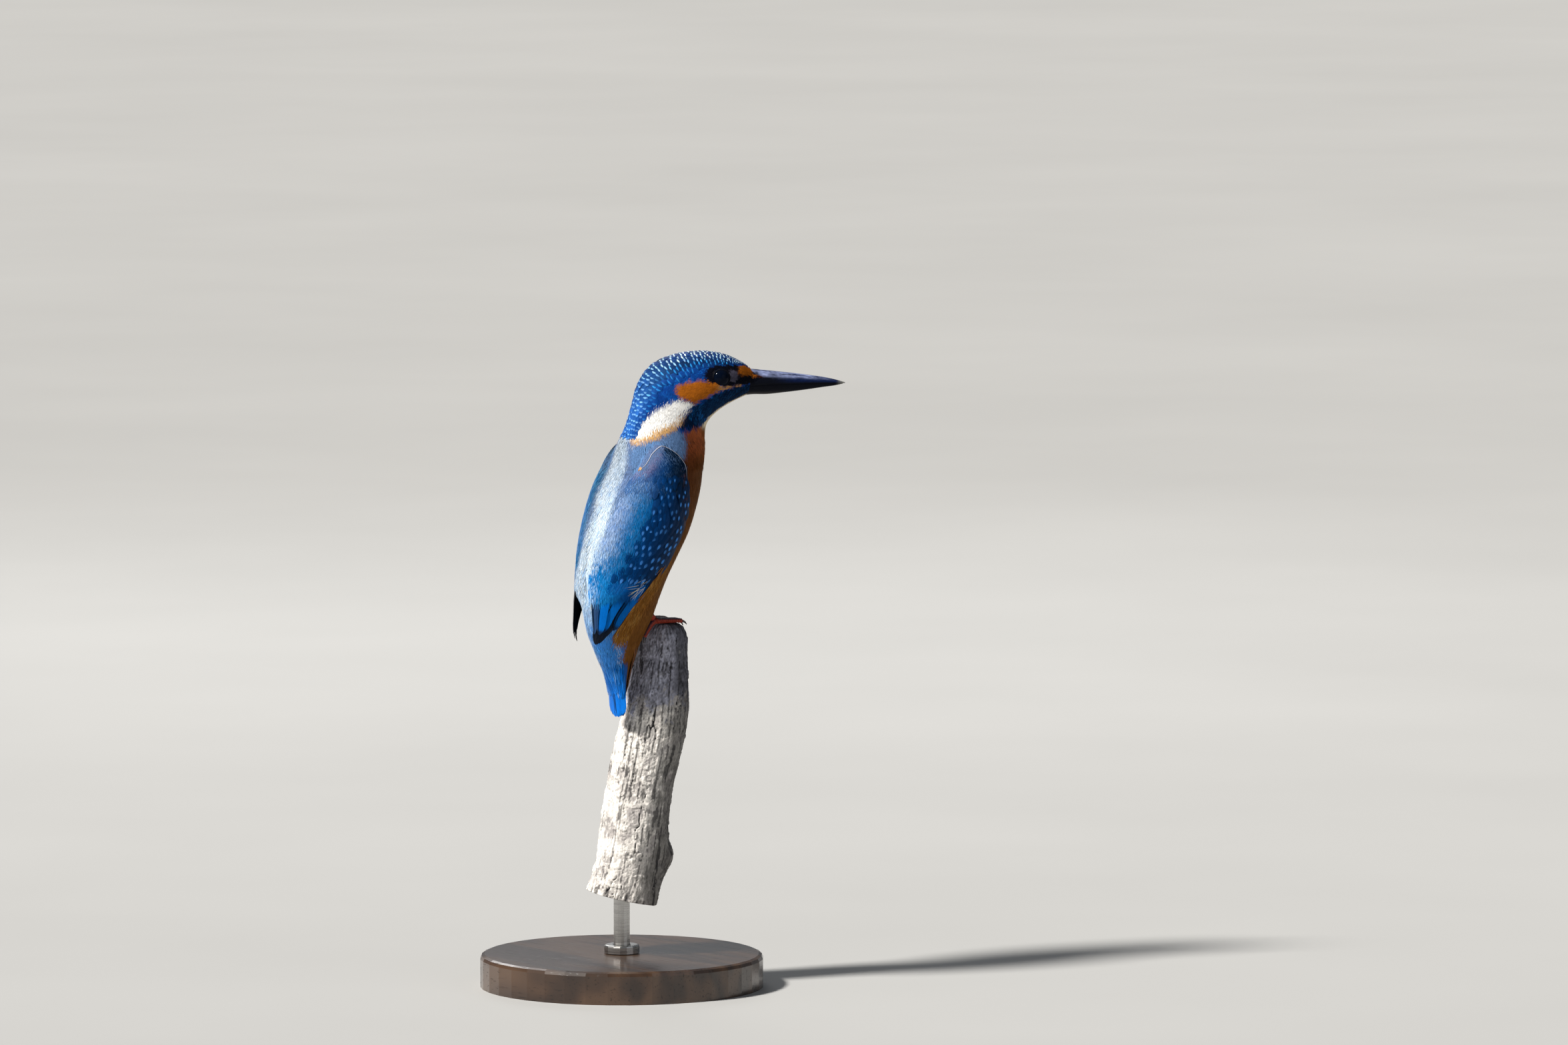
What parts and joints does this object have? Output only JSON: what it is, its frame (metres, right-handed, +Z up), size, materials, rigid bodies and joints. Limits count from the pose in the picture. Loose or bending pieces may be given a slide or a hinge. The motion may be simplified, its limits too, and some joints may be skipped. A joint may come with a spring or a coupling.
{
  "type": "kingfisher model on a display stand",
  "caption": "Life-size still model of a kingfisher with its head turned, gripping a short length of dead branch held on a round base by a rod.",
  "frame": {"origin": "centre of the underside of the stand's round base", "axes": "+Z up, +X the way the bird's breast faces, +Y to the bird's left"},
  "size_m": [0.1236, 0.104, 0.2336],
  "materials": {
    "plumage": "matt feathers with a soft sheen",
    "bill_horn": "glossy black horn",
    "eye": "wet gloss",
    "foot_skin": "scaly skin",
    "claw_horn": "dark horn",
    "dead_wood": "weathered grey wood with flaking bark",
    "stand_wood": "dark satin varnish",
    "stand_steel": "brushed"
  },
  "bodies": {
    "root": {"head": "plumage", "neck": "plumage", "trunk": "plumage", "wing_left": "plumage", "wing_right": "plumage", "flight_feathers_left": "plumage", "flight_feathers_right": "plumage", "tail": "plumage", "undertail_coverts": "plumage", "bill_upper": "bill_horn", "bill_lower": "bill_horn", "eye_left": "eye", "eye_right": "eye", "leg_left": "foot_skin", "leg_right": "foot_skin", "foot_left": "foot_skin", "foot_right": "foot_skin", "claw_inner_left": "claw_horn", "claw_middle_left": "claw_horn", "claw_outer_left": "claw_horn", "claw_hind_left": "claw_horn", "claw_inner_right": "claw_horn", "claw_middle_right": "claw_horn", "claw_outer_right": "claw_horn", "claw_hind_right": "claw_horn", "perch": "dead_wood", "stand_base": "stand_wood", "stand_rod": "stand_steel", "stand_collar": "stand_steel"}
  },
  "joints": []
}
